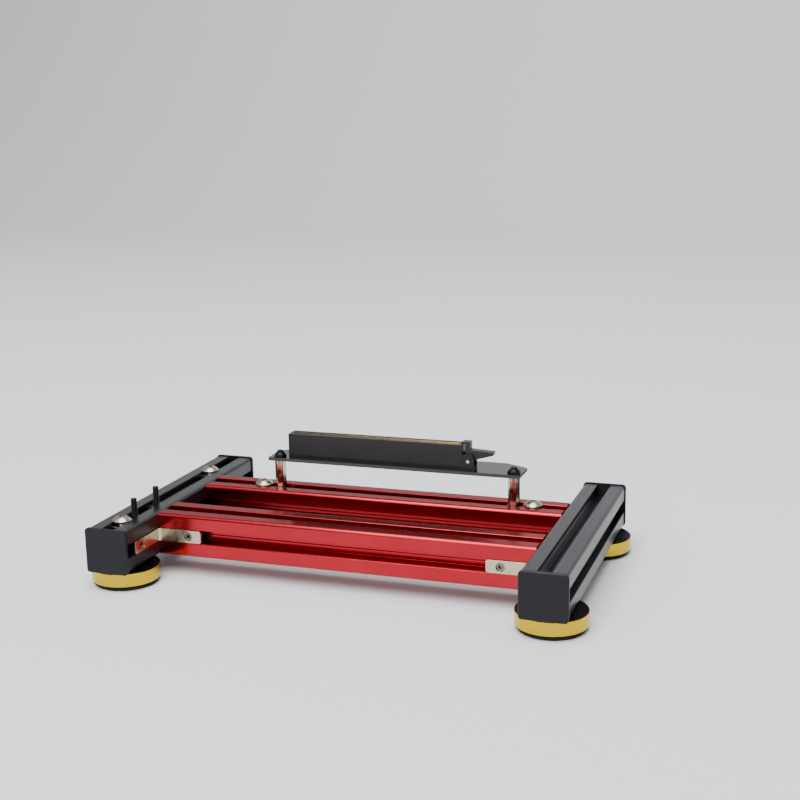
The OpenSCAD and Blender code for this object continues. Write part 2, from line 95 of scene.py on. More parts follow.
def linear(colour):
    """Linear red, green, blue and 1 from a hex colour: c/12.92, or ((c+0.055)/1.055)^2.4."""
    parts = [int(colour[i:i + 2], 16) / 255 for i in (1, 3, 5)]
    return [c / 12.92 if c <= 0.04045 else ((c + 0.055) / 1.055) ** 2.4 for c in parts] + [1]


def set_inputs(tree, node, inputs):
    """Gives each named input of a node its constant or its link."""
    for name, value in inputs.items():
        if isinstance(value, bpy.types.NodeSocket):
            tree.links.new(value, node.inputs[name])
        else:
            node.inputs[name].default_value = value


def add(tree, kind, inputs=None, **settings):
    """Adds a node. Settings are its own properties; an input gets a constant or a link."""
    made = tree.nodes.new(kind)
    for name, value in settings.items():
        setattr(made, name, value)
    set_inputs(tree, made, inputs or {})
    return made


def start_material(name):
    """A new material: returns it, its tree and its shader, with the default nodes reused."""
    material = bpy.data.materials.new(name)
    material.use_nodes = True
    tree = material.node_tree
    return material, tree, tree.nodes["Principled BSDF"]


def pattern_space(tree, size_mm):
    """Object coordinates divided by a size in millimetres along each axis."""
    where = add(tree, "ShaderNodeTexCoord").outputs["Object"]
    scale = [1 / (size * MM) for size in size_mm]
    return add(tree, "ShaderNodeMapping", {"Vector": where, "Scale": scale}).outputs["Vector"]


def ramp(tree, factor, stops):
    """A colour ramp through (place, hex colour) stops."""
    made = add(tree, "ShaderNodeValToRGB", {"Fac": factor})
    band = made.color_ramp
    band.elements[0].position, band.elements[-1].position = stops[0][0], stops[-1][0]
    for place, _ in stops[1:-1]:
        band.elements.new(place)
    for element, (_, colour) in zip(band.elements, stops):
        element.color = linear(colour)
    return made.outputs["Color"]


def two_tones(dark, light):
    """Ramp stops for a noise: most of its values lie between these two places."""
    return [(NOISE_LOW, dark), (NOISE_HIGH, light)]


def spread(tree, factor, low, high):
    """Maps a noise from the range where most of its values lie to low..high."""
    inputs = {"Value": factor, "From Min": NOISE_LOW, "From Max": NOISE_HIGH,
              "To Min": low, "To Max": high}
    return add(tree, "ShaderNodeMapRange", inputs).outputs["Result"]


# %% [markdown]
# ## Anodised profile
# Extruded aluminium keeps faint straight lines along its length from the die. Anodising
# grows a clear hard skin that takes dye: the rails are satin black, and the crossbars are a
# brighter red over a smoother surface. At a flat angle light takes a longer way through the
# dye, so a metal's usual bright rim is dimmed by its specular tint, and the skin's own
# gloss is a coat. The lines are a noise stretched along the bar, so each finish needs to
# know which way its profile runs.

# %% Black and red anodised aluminium
def anodised(name, stops, along, roughness, depth, inputs):
    """Dyed skin over metal: noise drawn out along the extrusion tints it and roughens it."""
    material, tree, shader = start_material(name)
    across_mm, along_mm, cloud_mm = 0.5, 90, 14
    size = [along_mm if axis == along else across_mm for axis in range(3)]
    lines = add(tree, "ShaderNodeTexNoise",
                {"Vector": pattern_space(tree, size), "Scale": 1, "Detail": 3}).outputs["Fac"]
    cloud = add(tree, "ShaderNodeTexNoise",
                {"Vector": pattern_space(tree, [cloud_mm] * 3), "Scale": 1}).outputs["Fac"]
    bump = add(tree, "ShaderNodeBump", {"Height": lines, "Strength": 0.3,
                                        "Distance": depth * MM})
    set_inputs(tree, shader, {
        "Base Color": ramp(tree, cloud, stops),
        "Roughness": spread(tree, lines, roughness - 0.03, roughness + 0.04),
        "Normal": bump.outputs["Normal"],
    })
    set_inputs(tree, shader, inputs)
    return material


X_AXIS, Y_AXIS = 0, 1
black_rail = anodised("black_anodised_extrusion", two_tones("#0F1012", "#131416"),
                      Y_AXIS, 0.3, 0.006, {"IOR": 1.5, "Specular IOR Level": 0.4})
red_bar = anodised("red_anodised_extrusion", two_tones("#A8081E", "#B00D24"),
                   X_AXIS, 0.22, 0.004,
                   {"Metallic": 1.0, "Specular Tint": linear("#BCAAAA"),
                    "Coat Weight": 0.5, "Coat Roughness": 0.15})
print("profile finishes ready")

# %% [markdown]
# ## Plastics and rubber
# The end caps and the feet are moulded from black plastic with the fine texture of an
# etched mould, which is what breaks their highlights up. The card socket is a glass-filled
# plastic with a drier look, and the pads under the feet are foam rubber.

# %% Moulded plastic and rubber
def moulded(name, dark, light, grain_mm, roughness, depth, specular=0.5):
    """Moulded plastic: mould grain as bump, with a faint cloud of tint and roughness."""
    material, tree, shader = start_material(name)
    cloud_mm = 7
    grain = add(tree, "ShaderNodeTexNoise",
                {"Vector": pattern_space(tree, [grain_mm] * 3), "Scale": 1,
                 "Detail": 3}).outputs["Fac"]
    cloud = add(tree, "ShaderNodeTexNoise",
                {"Vector": pattern_space(tree, [cloud_mm] * 3), "Scale": 1}).outputs["Fac"]
    bump = add(tree, "ShaderNodeBump", {"Height": grain, "Strength": 0.3,
                                        "Distance": depth * MM})
    set_inputs(tree, shader, {
        "Base Color": ramp(tree, cloud, two_tones(dark, light)),
        "Roughness": spread(tree, grain, roughness - 0.06, roughness + 0.06),
        "IOR": 1.5,
        "Specular IOR Level": specular,
        "Normal": bump.outputs["Normal"],
    })
    return material


cap_plastic = moulded("etched_abs_cap", "#0F0F14", "#131318", 0.5, 0.4, 0.012, 0.26)
foot_plastic = moulded("moulded_abs_foot", "#030304", "#060607", 0.5, 0.45, 0.01, 0.07)
socket_plastic = moulded("glass_filled_nylon", "#141416", "#18181B", 0.4, 0.45, 0.01)
latch_plastic = moulded("moulded_nylon_latch", "#18181A", "#1D1D20", 0.4, 0.4, 0.01)
pad_rubber = moulded("foam_rubber", "#141414", "#1C1C1C", 0.6, 0.85, 0.12)
print("plastics ready")

# %% [markdown]
# ## Plated and turned metal
# The connectors are cast zinc under nickel: warm, bright and slightly uneven. The screws,
# standoffs and slot nuts are nickel-plated steel, and the studs and the nuts on the board
# are blackened steel. The set screws sunk in the connectors are nickel-plated too, but their
# colour is painted shade: it is darkened to stand in for the shadow inside their sockets and
# holes.
# The rings of the feet are turned aluminium, anodised gold.

# %% Metals
def metal(name, dark, light, grain_mm, roughness, depth, metallic=1.0):
    """Plated metal: an uneven surface as bump, with small changes of tint and roughness."""
    material, tree, shader = start_material(name)
    grain = add(tree, "ShaderNodeTexNoise",
                {"Vector": pattern_space(tree, [grain_mm] * 3), "Scale": 1,
                 "Detail": 4}).outputs["Fac"]
    bump = add(tree, "ShaderNodeBump", {"Height": grain, "Strength": 0.35,
                                        "Distance": depth * MM})
    set_inputs(tree, shader, {
        "Base Color": ramp(tree, grain, two_tones(dark, light)),
        "Metallic": metallic,
        "Roughness": spread(tree, grain, roughness - 0.07, roughness + 0.07),
        "Normal": bump.outputs["Normal"],
    })
    return material


cast_nickel = metal("nickel_on_cast_zinc", "#B8AC90", "#CDC1A7", 3.0, 0.22, 0.02)
plated_screw = metal("nickel_plated_screw", "#ABA597", "#BFB9AB", 1.5, 0.24, 0.006)
# Painted shade: nickel darkened to stand in for the shadow in the set screws' sockets and holes
set_screw_painted_shade = metal("nickel_set_screw_painted_shade", "#7C7466", "#8A8172", 0.8, 0.26, 0.006)
turned_nickel = metal("nickel_plated_turning", "#B9B2A3", "#D0CABB", 2.0, 0.16, 0.003)
black_steel = metal("blackened_steel", "#18181A", "#222225", 0.6, 0.36, 0.01, 0.8)
gold_ring = metal("gold_anodised_turning", "#C8A620", "#CEAD2C", 5.0, 0.22, 0.002)
contact_gold = metal("gold_plated_bronze", "#C89B3C", "#DDB35A", 0.5, 0.22, 0.01)
solder_tin = metal("tin_solder", "#B9BBBC", "#D0D2D3", 0.4, 0.3, 0.02)
print("metals ready")

# %% [markdown]
# ## The circuit board
# The board is glass fibre under glossy black solder mask. The weave of the glass shows
# through as a very faint grid, and the surface is smooth enough to mirror the room. Its
# outline is cut with a router after the mask is on, so the edge is the bare laminate, grey
# and dull. The shader tells the edge by its normal, which lies flat.

# %% Black solder mask
def solder_mask():
    """Glossy mask over woven glass: the weave is the product of two crossed waves.

    A wave repeats every 2 pi / (20 scale) of its space, which is 0.31 mm here. Where the
    height of the normal is under a limit, the bare laminate shows instead.
    """
    material, tree, shader = start_material("black_solder_mask")
    fibre_mm, weave_mm, weave_depth_mm = (2, 2, 0.15), 0.5, 0.02
    upright_from = 0.5
    normal = add(tree, "ShaderNodeTexCoord").outputs["Normal"]
    height = add(tree, "ShaderNodeSeparateXYZ", {"Vector": normal}).outputs["Z"]
    upright = add(tree, "ShaderNodeMath", {0: height}, operation="ABSOLUTE").outputs["Value"]
    masked = add(tree, "ShaderNodeMath", {0: upright, 1: upright_from},
                 operation="GREATER_THAN")
    fibres = add(tree, "ShaderNodeTexNoise",
                 {"Vector": pattern_space(tree, fibre_mm), "Scale": 1}).outputs["Fac"]
    space = pattern_space(tree, [weave_mm] * 3)
    weave = [
        add(tree, "ShaderNodeTexWave", {"Vector": space, "Scale": 0.5, "Distortion": 0.3},
            bands_direction=way).outputs["Fac"]
        for way in ("X", "Y")
    ]
    both = add(tree, "ShaderNodeMath", {0: weave[0], 1: weave[1]}, operation="MULTIPLY")
    bump = add(tree, "ShaderNodeBump", {"Height": both.outputs["Value"], "Strength": 0.1,
                                        "Distance": weave_depth_mm * MM})
    colour = add(tree, "ShaderNodeMix", {
        0: masked.outputs["Value"],
        6: ramp(tree, fibres, two_tones("#343733", "#484B44")),
        7: ramp(tree, both.outputs["Value"], [(0.0, "#0C0F11"), (1.0, "#131719")]),
    }, data_type="RGBA")
    gloss = add(tree, "ShaderNodeMapRange", {
        "Value": masked.outputs["Value"], "To Min": 0.7, "To Max": 0.16})
    set_inputs(tree, shader, {
        "Base Color": colour.outputs[2],
        "Roughness": gloss.outputs["Result"],
        "IOR": 1.52,
        "Specular IOR Level": 0.35,
        "Coat Weight": 0.1,
        "Coat Roughness": 0.06,
        "Normal": bump.outputs["Normal"],
    })
    return material


black_mask = solder_mask()

# %% [markdown]
# ## Giving the solids their finish
# Each solid takes its finish from the kind of piece it is, which its name says.

# %% Assign the finishes
FINISHES = [
    ("foot_screws", plated_screw), ("foot_nuts", turned_nickel),
    ("left_rail", black_rail), ("right_rail", black_rail),
    ("front_crossbar", red_bar), ("rear_crossbar", red_bar),
    ("cap_", cap_plastic), ("foot_", foot_plastic), ("ring_", gold_ring), ("pad_", pad_rubber),
    ("connector_", cast_nickel), ("set_screws", set_screw_painted_shade), ("slot_screws", plated_screw),
    ("screw_nuts", turned_nickel), ("stud_nuts", black_steel),
    ("standoff_", turned_nickel), ("latch_pin", turned_nickel),
    ("guide_stud_", black_steel), ("board_studs", black_steel), ("board_nuts", black_steel),
    ("riser_board", black_mask), ("card_socket", socket_plastic),
    ("socket_latch", latch_plastic),
]
for node_name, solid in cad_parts.items():
    finish = next(material for start, material in FINISHES if node_name.startswith(start))
    solid.data.materials.clear()
    solid.data.materials.append(finish)
print("finishes given to", len(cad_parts), "solids")

# %% [markdown]
# ## Outlines with rounded corners
# Extruding, turning and moulding all leave a small radius on every edge, and that radius
# is what catches the light as a thin bright line. The outlines below are lists of corners,
# each with its radius, turned into points. Every arc has a holding point on both sides,
# close to where it starts, so the flats beside it stay flat when the mesh is shaded smooth.

# %% Rounded outlines
ARC_STEPS = 6
HOLD = 0.03


def rounded(corners, radii, closed=True):
    """Fillets a polyline: each corner becomes an arc that is tangent to both its sides.

    At a corner with unit directions u (to the last point) and v (to the next) and half
    angle h, the arc starts r / tan(h) along u and v, and its centre is r / sin(h) along
    their bisector. Corners with radius 0 and the ends of an open line stay points.
    """
    corners = np.asarray(corners, float)
    radii = np.broadcast_to(np.asarray(radii, float), len(corners))
    before, after = np.roll(corners, 1, 0) - corners, np.roll(corners, -1, 0) - corners
    u = before / np.linalg.norm(before, axis=1)[:, None]
    v = after / np.linalg.norm(after, axis=1)[:, None]
    half = np.arccos(np.clip((u * v).sum(1), -1, 1)) / 2
    out = []
    for i, (corner, r) in enumerate(zip(corners, radii)):
        if r == 0 or (not closed and i in (0, len(corners) - 1)):
            out.append(corner[None])
            continue
        reach = r / math.tan(half[i])
        middle = u[i] + v[i]
        centre = corner + middle / np.linalg.norm(middle) * r / math.sin(half[i])
        start, end = corner + u[i] * reach - centre, corner + v[i] * reach - centre
        turn = math.pi - 2 * half[i]
        if start[0] * end[1] < start[1] * end[0]:
            turn = -turn
        angle = np.linspace(0, turn, ARC_STEPS + 1)[:, None]
        across = np.array([-start[1], start[0]])
        arc = centre + np.cos(angle) * start + np.sin(angle) * across
        hold = [corner + u[i] * (reach + HOLD), corner + v[i] * (reach + HOLD)]
        out += [hold[0][None], arc, hold[1][None]]
    return np.concatenate(out)


def grid_faces(rows, columns, close_rows=False):
    """Quads of a grid whose columns wrap round, and whose rows may."""
    row = np.arange(rows if close_rows else rows - 1)[:, None]
    column = np.arange(columns)[None]
    beside, above = (column + 1) % columns, (row + 1) % rows
    quads = [row * columns + column, row * columns + beside,
             above * columns + beside, above * columns + column]
    return np.stack(quads, -1).reshape(-1, 4).tolist()


def joined(shapes):
    """Several (points, faces) shapes as one."""
    points, faces, first = [], [], 0
    for more_points, more_faces in shapes:
        points.append(more_points)
        faces += [[i + first for i in face] for face in more_faces]
        first += len(more_points)
    return np.concatenate(points), faces


def new_piece(name, shape, finish, replaces=(), sharp_deg=24, body="stand"):
    """A piece from (points in millimetres, faces), smooth except over sharper edges."""
    points, faces = shape
    mesh = bpy.data.meshes.new(name)
    mesh.from_pydata((points * MM).tolist(), [], faces)
    mesh.shade_smooth()
    mesh.set_sharp_from_angle(angle=math.radians(sharp_deg))
    mesh.materials.append(finish)
    made = bpy.data.objects.new(name, mesh)
    bpy.context.collection.objects.link(made)
    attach(made, body)
    if replaces:
        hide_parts(*replaces)
    print(name, len(mesh.polygons), "faces")


def box_mm(node_name):
    """Lowest and highest corner of a solid, in millimetres."""
    return [np.array(corner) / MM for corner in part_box(node_name)]


# %% [markdown]
# ## The slotted profile
# The die gives each of the eight lips, the channels behind them and the four outer corners
# their own radius. One quarter of the section is drawn, from the middle of one slot floor
# round an outer corner to the middle of the next, and turned four times. The section is
# then swept along the bar. Each cut end is four flat faces around the bore, because one
# face can't have a hole.

# %% Rails and crossbars
PROFILE = 20
OUTER_R = 1.5
LIP_R = 0.35
LIP_BACK_R = 0.15
INNER_R = 0.3
SLOT_HALF = 3.1
LIP = 1.8
CHANNEL_HALF = 5.5
CORE_HALF = 3.9
WEB = 1.5
BORE_R = 2.5
BORE_STEPS = 12
SCRIBE = 0.25
SCRIBE_R = 0.1


def profile_section():
    """The outline as points, counter-clockwise from the middle of the +X slot's floor."""
    outside, under_lip = PROFILE / 2, PROFILE / 2 - LIP
    web = WEB / 2 * math.sqrt(2)
    floor = [((CORE_HALF - SCRIBE, 0), SCRIBE_R)]
    side = [
        ((CORE_HALF, SCRIBE), SCRIBE_R), ((CORE_HALF, CORE_HALF - web), INNER_R),
        ((CHANNEL_HALF + web, CHANNEL_HALF), INNER_R), ((under_lip, CHANNEL_HALF), INNER_R),
        ((under_lip, SLOT_HALF), LIP_BACK_R), ((outside, SLOT_HALF), LIP_R),
    ]
    other = [((y, x), r) for (x, y), r in reversed(side)]
    quarter = floor + side + [((outside, outside), OUTER_R)] + other
    corners = [np.array([point for point, _ in quarter])]
    for _ in range(3):
        corners.append(np.stack([-corners[-1][:, 1], corners[-1][:, 0]], 1))
    outline = rounded(np.concatenate(corners), [r for _, r in quarter] * 4)
    return np.roll(outline, -(ARC_STEPS // 2 + 1), 0)


def profile_bar(length, centre, along):
    """Sweeps the section along X or Y, with its bore, and closes both ends."""
    outline = profile_section()
    angle = np.arange(4 * BORE_STEPS) * (math.pi / 2 / BORE_STEPS)
    bore = BORE_R * np.stack([np.cos(angle), np.sin(angle)], 1)
    count, quarter = len(outline), len(outline) // 4
    a, b = np.tile(np.concatenate([outline, bore]), (2, 1)).T
    total = len(a) // 2
    run = np.repeat([-length / 2, length / 2], total)
    points = np.stack([run, a, b] if along == X_AXIS else [b, run, a], 1) + centre
    skin = [[i % count + i // count * total for i in face] for face in grid_faces(2, count)]
    inside = len(bore)
    tube = [[count + i % inside + i // inside * total for i in face[::-1]]
            for face in grid_faces(2, inside)]
    ends = []
    for turn in range(4):
        outer = [(turn * quarter + i) % count for i in range(quarter + 1)]
        inner = [count + (turn * BORE_STEPS + i) % inside for i in range(BORE_STEPS + 1)]
        ring = outer + inner[::-1]
        ends += [ring[::-1], [i + total for i in ring]]
    return points, skin + tube + ends


for node_name, along, finish, slot in [
    ("left_rail", Y_AXIS, black_rail, "black_anodised"),
    ("right_rail", Y_AXIS, black_rail, "black_anodised"),
    ("front_crossbar", X_AXIS, red_bar, "red_anodised"),
    ("rear_crossbar", X_AXIS, red_bar, "red_anodised"),
]:
    low, high = box_mm(node_name)
    shape = profile_bar((high - low)[along], (low + high) / 2, along)
    new_piece(node_name + "_profile", shape, finish, [node_name])

# %% [markdown]
# ## Threads
# The guide studs and the studs of the board are cut from threaded rod. A thread is one
# groove that winds up the rod, so the radius depends on the height and on the angle
# together: going once round moves the groove up by one pitch.

# %% Threaded studs
STUD_R = 1.5
PITCH = 0.5
THREAD_DEPTH = 0.27
TIP = 0.4
GROOVE_SLOPE, CREST_FLAT = 2.6, 0.15
THREAD_SHARP = 50
ROWS_PER_TURN = 10
ROD_COLUMNS = 40


def threaded_rod(x, y, bottom, top, plain_below):
    """r(angle, z) = radius - depth * groove(z / pitch - angle / (2 pi)).

    groove is 0 on the crest and 1 at the root of a V with a narrow flat at both. Below
    plain_below the rod is at its root, and its tip tapers by the thread's depth.
    """
    rows = round((top - bottom) / PITCH * ROWS_PER_TURN) + 1
    z = np.linspace(bottom, top, rows)[:, None]
    angle = np.arange(ROD_COLUMNS)[None] * (2 * math.pi / ROD_COLUMNS)
    phase = (z / PITCH - angle / (2 * math.pi)) % 1
    groove = np.clip((0.5 - np.abs(phase - 0.5)) * GROOVE_SLOPE - CREST_FLAT, 0, 1)
    ends = np.maximum((z - (top - TIP)) / TIP, z < plain_below)
    r = STUD_R - THREAD_DEPTH * np.maximum(groove, ends)
    points = np.stack([x + r * np.cos(angle), y + r * np.sin(angle), z + 0 * r], -1)
    bottom_face = list(range(ROD_COLUMNS))[::-1]
    top_face = [(rows - 1) * ROD_COLUMNS + i for i in range(ROD_COLUMNS)]
    return points.reshape(-1, 3), grid_faces(rows, ROD_COLUMNS) + [bottom_face, top_face]


slot_mouth = box_mm("left_rail")[1][2] - LIP
for node_name in ("guide_stud_front", "guide_stud_rear"):
    low, high = box_mm(node_name)
    x, y = ((low + high) / 2)[:2]
    new_piece(node_name + "_thread", threaded_rod(x, y, low[2], high[2], slot_mouth),
              black_steel, [node_name], THREAD_SHARP)

low, high = box_mm("board_studs")
board_low, board_high = box_mm("riser_board")
y = (low[1] + high[1]) / 2
rods = [threaded_rod(x, y, low[2], high[2], board_low[2])
        for x in (low[0] + STUD_R, high[0] - STUD_R)]
new_piece("board_stud_threads", joined(rods), black_steel, ["board_studs"],
          THREAD_SHARP)

# %% [markdown]
# ## Turned rings
# The rings are turned from aluminium bar: a straight wall with a small radius at its foot,
# where the gold catches a bright line, and a sharper edge under the black lip.

# %% Gold rings
RING_FOOT_R, RING_TOP_R = 0.4, 0.15
RING_WALL = 0.8
RING_COLUMNS = 128


def revolved(x, y, outline, columns):
    """Turns a closed outline of (radius, z) points about the vertical axis at x, y."""
    angle = np.arange(columns) * (2 * math.pi / columns)
    r, z = outline[:, :1], outline[:, 1:]
    points = np.stack([x + r * np.cos(angle), y + r * np.sin(angle), z + 0 * angle], -1)
    return points.reshape(-1, 3), grid_faces(len(outline), columns, close_rows=True)


CORNERS = ("front_left", "front_right", "rear_left", "rear_right")
for corner in CORNERS:
    low, high = box_mm("ring_" + corner)
    outer, middle = (high[0] - low[0]) / 2, (low + high) / 2
    inner = outer - RING_WALL
    section = rounded(
        [(inner, low[2]), (outer, low[2]), (outer, high[2]), (inner, high[2])],
        [0, RING_FOOT_R, RING_TOP_R, 0])
    new_piece("ring_" + corner + "_turned", revolved(*middle[:2], section, RING_COLUMNS),
              gold_ring, ["ring_" + corner])

# %% [markdown]
# ## Hexagonal standoffs and nuts
# Both are cut from hexagonal bar on a lathe, so their ends are chamfered by a cone: the
# flats run out in arcs, and the corners are slightly rounded as the bar is drawn. Turning
# an outline and cutting every radius down to the hexagon gives exactly that. The black nuts
# taper strongly towards their tops. A flat of each standoff is turned a little to the right.

# %% Standoffs and board nuts
HEX_COLUMNS = 72
CORNER_CUT = 0.97
STANDOFF_AF, STANDOFF_TURN = 5, 11
STANDOFF_THREAD, STANDOFF_BORE = 3.2, 5
STANDOFF_CHAMFER, CHAMFER_ROWS = 0.3, 4
NUT_AF, NUT_TURN = 5.5, 11
NUT_CONE, NUT_TOP_RIM, CONE_ROWS = 1.5, 0.35, 10
BORE_PLAY = 0.05


def hexagonal(x, y, path, across_flats, turn_deg, closed):
    """r(angle, t) = min(path radius, half the flats / cos(angle from the nearest flat)).

    The corner is also cut by a cylinder a little inside it. The path is (radius, z) points; a
    closed path wraps round, as for a nut, and an open one gets a flat face at both ends.
    """
    angle = np.arange(HEX_COLUMNS)[None] * (2 * math.pi / HEX_COLUMNS) + math.radians(turn_deg)
    sixth = math.pi / 3
    from_flat = (angle - math.radians(turn_deg)) % sixth - sixth / 2
    corner = across_flats / math.sqrt(3) * CORNER_CUT
    flats = np.minimum(across_flats / 2 / np.cos(from_flat), corner)
    path = np.asarray(path, float)
    r, z = np.minimum(path[:, :1], flats), path[:, 1:]
    points = np.stack([x + r * np.cos(angle), y + r * np.sin(angle), z + 0 * r], -1)
    faces = grid_faces(len(path), HEX_COLUMNS, close_rows=closed)
    if not closed:
        last = (len(path) - 1) * HEX_COLUMNS
        faces += [list(range(HEX_COLUMNS))[::-1], [last + i for i in range(HEX_COLUMNS)]]
    return points.reshape(-1, 3), faces


def cone_rows(start, end, steps):
    """Points along a straight slope, close enough for the flats to run out in arcs."""
    return np.linspace(start, end, steps + 1).tolist()


widest = STANDOFF_AF / math.sqrt(3)
for node_name in ("standoff_left", "standoff_right"):
    low, high = box_mm(node_name)
    x, y = ((low + high) / 2)[:2]
    shoulder, end, drop = low[2] + STANDOFF_THREAD, high[2], STANDOFF_CHAMFER
    hole = STUD_R + BORE_PLAY
    path = [(STUD_R, low[2]), (STUD_R, shoulder)]
    path += cone_rows((widest - 2 * drop, shoulder), (widest, shoulder + drop), CHAMFER_ROWS)
    path += cone_rows((widest, end - drop), (widest - 2 * drop, end), CHAMFER_ROWS)
    path += [(hole, end), (hole, end - STANDOFF_BORE)]
    shape = hexagonal(x, y, path, STANDOFF_AF, STANDOFF_TURN, closed=False)
    new_piece(node_name + "_turned", shape, turned_nickel, [node_name])

low, high = box_mm("board_nuts")
stud_low, stud_high = box_mm("board_studs")
y = (low[1] + high[1]) / 2
base, end, hole = low[2], high[2], STUD_R + BORE_PLAY
widest = NUT_AF / math.sqrt(3)
path = [(hole, base), (widest, base)]
path += cone_rows((widest, end - NUT_CONE), (hole + NUT_TOP_RIM, end), CONE_ROWS)
path += [(hole, end)]
nuts = [hexagonal(x, y, path, NUT_AF, NUT_TURN, closed=True)
        for x in (stud_low[0] + STUD_R, stud_high[0] - STUD_R)]
new_piece("board_nuts_turned", joined(nuts), black_steel, ["board_nuts"])

# %% [markdown]
# ## Contacts of the card socket
# Each contact is one stamped strip of bronze under gold. Its tip leans back at the
# socket's top, its bulge presses on the edge that is plugged in, and its tail goes down
# through the board. The tails alternate between two rows on each side, which leaves room
# for solder round each one. One strip is drawn from the side, thickened, and copied along
# both rows.

# %% Socket contacts and solder
CONTACT_PITCH = 1.0
SHORT_CONTACTS, LONG_CONTACTS = 11, 71
SOCKET_WALL, ROW_MARGIN, KEY_WIDTH = 2.0, 0.65, 1.7
STRIP_WIDTH, STRIP_THICKNESS = 0.4, 0.16
TAIL_BELOW = 0.9
TAIL_NEAR, TAIL_FAR = 1.1, 3.0
SOLDER_R, SOLDER_HEIGHT = 0.62, 0.6
SOLDER_TIP_R, SOLDER_CORE_R, SOLDER_COLUMNS, SOLDER_SHARP = 0.28, 0.1, 12, 60
# Corners of the upper part: distance from the middle, depth under the top, radius
UPPER_STRIP = [(2.2, 0.35, 0), (1.35, 1.6, 0.8), (0.55, 3.2, 0.5), (1.35, 5.2, 0.6)]
# The leg goes down to here above the board, where it steps out to its tail
LEG_OUT, LEG_END, TAIL_START, KNEE_R = 1.35, 1.2, 0.4, 0.3


def strip_outline(path):
    """Both sides of a path at half the strip's thickness: p + n t/2 there, p - n t/2 back."""
    ahead = np.gradient(path, axis=0)
    normal = np.stack([-ahead[:, 1], ahead[:, 0]], 1) / np.linalg.norm(ahead, axis=1)[:, None]
    shift = normal * STRIP_THICKNESS / 2
    return np.concatenate([path + shift, (path - shift)[::-1]])


def strips(x, y, side, outline):
    """Copies of a strip whose outline is (distance from the row's middle, z)."""
    count = len(outline)
    width = np.repeat([-STRIP_WIDTH / 2, STRIP_WIDTH / 2], count)
    across, z = np.tile(outline, (2, 1)).T
    one = np.stack([width, side * across, z], 1)
    points = (one[None] + np.stack([x, y + 0 * x, 0 * x], 1)[:, None]).reshape(-1, 3)
    half = count // 2
    walls = grid_faces(2, count)
    cheeks = [[i, i + 1, count - 2 - i, count - 1 - i] for i in range(half - 1)]
    faces = walls + [face[::-1] for face in cheeks]
    faces += [[i + count for i in face] for face in cheeks]
    faces = np.array(faces)[:, ::-side]
    first = np.arange(len(x))[:, None, None] * 2 * count
    return points, (faces[None] + first).reshape(-1, 4).tolist()


low, high = box_mm("card_socket")
socket_y = (low[1] + high[1]) / 2
socket_top = high[2]
short_start = low[0] + SOCKET_WALL + ROW_MARGIN / 2
long_start = short_start + SHORT_CONTACTS * CONTACT_PITCH + ROW_MARGIN + KEY_WIDTH
contact_x = np.concatenate([
    short_start + (np.arange(SHORT_CONTACTS) + 0.5) * CONTACT_PITCH,
    long_start + (np.arange(LONG_CONTACTS) + 0.5) * CONTACT_PITCH,
])
tail_end = board_low[2] - TAIL_BELOW
shapes, solder = [], []
for side in (-1, 1):
    for first, tail in ((0, TAIL_NEAR), (1, TAIL_FAR)):
        path = [(out, socket_top - down) for out, down, _ in UPPER_STRIP]
        path += [(LEG_OUT, board_high[2] + LEG_END), (tail, board_high[2] + TAIL_START),
                 (tail, tail_end)]
        bends = [r for _, _, r in UPPER_STRIP] + [KNEE_R, KNEE_R, 0]
        outline = strip_outline(rounded(path, bends, closed=False))
        x = contact_x[first::2]
        shapes.append(strips(x, socket_y, side, outline))
        cone = rounded([(SOLDER_CORE_R, board_low[2]), (SOLDER_R, board_low[2]),
                        (SOLDER_TIP_R, board_low[2] - SOLDER_HEIGHT),
                        (SOLDER_CORE_R, board_low[2] - SOLDER_HEIGHT)], 0)[::-1]
        solder += [revolved(at, socket_y + side * tail, cone, SOLDER_COLUMNS) for at in x]
new_piece("socket_contacts", joined(shapes), contact_gold)
new_piece("board_solder", joined(solder), solder_tin, sharp_deg=SOLDER_SHARP)

# %% [markdown]
# ## Ribs along the socket's foot
# Small dark marks, about 2 mm apart, can be seen along part of the socket's foot, and they
# are taken to be moulded ribs. The small boxes here stand beside every contact along both
# sides, so they are 1 mm apart, closer than the marks. Each box reaches a little into the
# wall, so that no gap shows behind it.

# %% Socket ribs
RIB_WIDTH, RIB_PROUD, RIB_HEIGHT, RIB_ROOT = 0.5, 0.3, 0.9, 0.2


def boxes(low_corners, high_corners):
    """One box per pair of corners: eight points each, x fastest, then y, then z."""
    pick = np.array([[i & 1, i >> 1 & 1, i >> 2 & 1] for i in range(8)])
    points = np.where(pick[None] == 1, high_corners[:, None], low_corners[:, None])
    quads = np.array([[0, 2, 3, 1], [4, 5, 7, 6], [0, 1, 5, 4],
                      [2, 6, 7, 3], [0, 4, 6, 2], [1, 3, 7, 5]])
    faces = quads[None] + np.arange(len(low_corners))[:, None, None] * 8
    return points.reshape(-1, 3), faces.reshape(-1, 4).tolist()


low, high = box_mm("card_socket")
rib_x = contact_x + CONTACT_PITCH / 2
ribs = []
for front, back in ((low[1] - RIB_PROUD, low[1] + RIB_ROOT),
                    (high[1] - RIB_ROOT, high[1] + RIB_PROUD)):
    rib_low = np.stack([rib_x - RIB_WIDTH / 2, 0 * rib_x + front, 0 * rib_x + low[2]], 1)
    rib_high = np.stack([rib_x + RIB_WIDTH / 2, 0 * rib_x + back,
                         0 * rib_x + low[2] + RIB_HEIGHT], 1)
    ribs.append(boxes(rib_low, rib_high))
new_piece("socket_ribs", joined(ribs), socket_plastic)

# %% [markdown]
# ## Softened edges on the other solids
# Cast, moulded and stamped pieces have no knife edges either. Each of these solids is
# copied, its duplicate points are merged and its flat triangles joined, and a bevel rounds
# every edge that turns by more than 35 degrees. The width is the radius that the process
# leaves: widest on the cast connectors, narrowest on the socket's thin walls.

